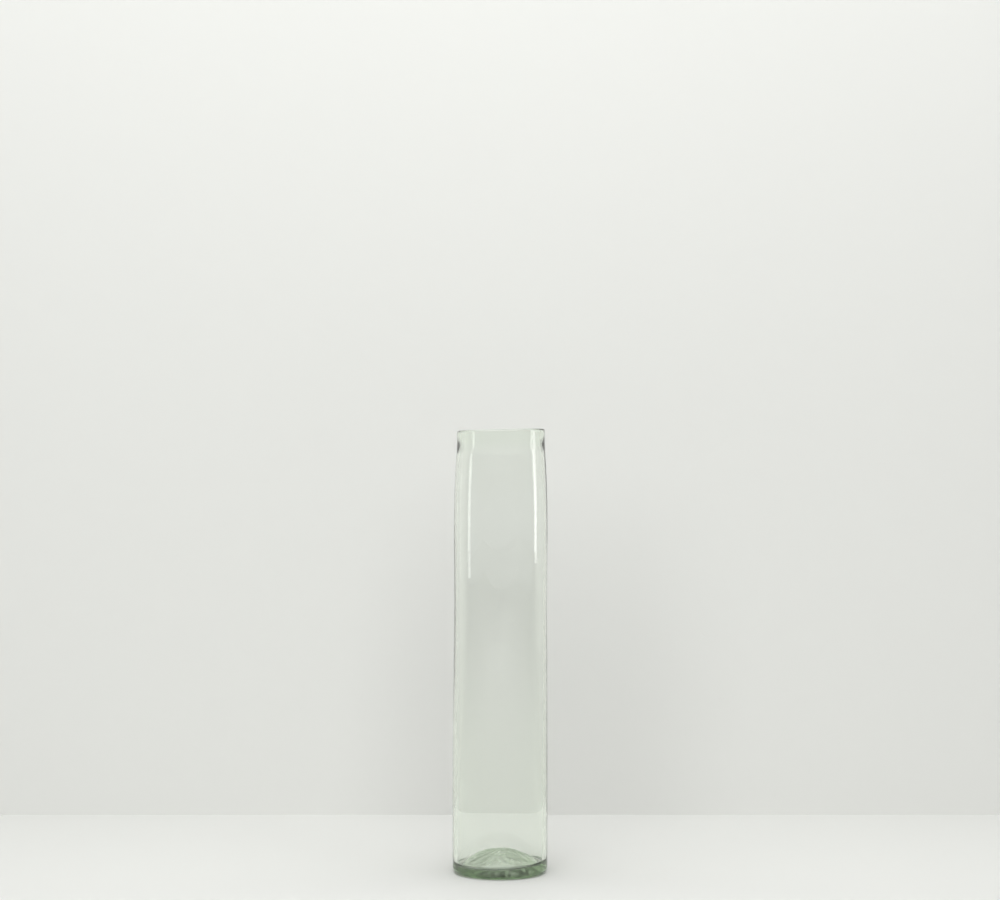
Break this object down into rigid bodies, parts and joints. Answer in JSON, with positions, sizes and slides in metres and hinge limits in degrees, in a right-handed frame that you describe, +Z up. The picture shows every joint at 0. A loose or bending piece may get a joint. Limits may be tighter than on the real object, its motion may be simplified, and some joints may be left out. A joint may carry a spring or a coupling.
{
  "type": "cylinder vase",
  "caption": "Tall round glass vase: a straight cylinder that draws in slightly to a thick rounded rim, on a heavy base with a raised, domed floor.",
  "frame": {"origin": "centre of the flat ring that the foot stands on, in the plane of the table", "axes": "+Z up along the axis of the cylinder, towards the mouth; the vase is round, so +X and +Y are any two level directions at right angles"},
  "size_m": [0.1072, 0.1072, 0.5],
  "materials": {
    "glass": "clear fire-polished glass with a faint grey-green tint, strongly green only where it is seen through the thick base"
  },
  "bodies": {
    "root": {"glass_vase": "glass"}
  },
  "joints": []
}
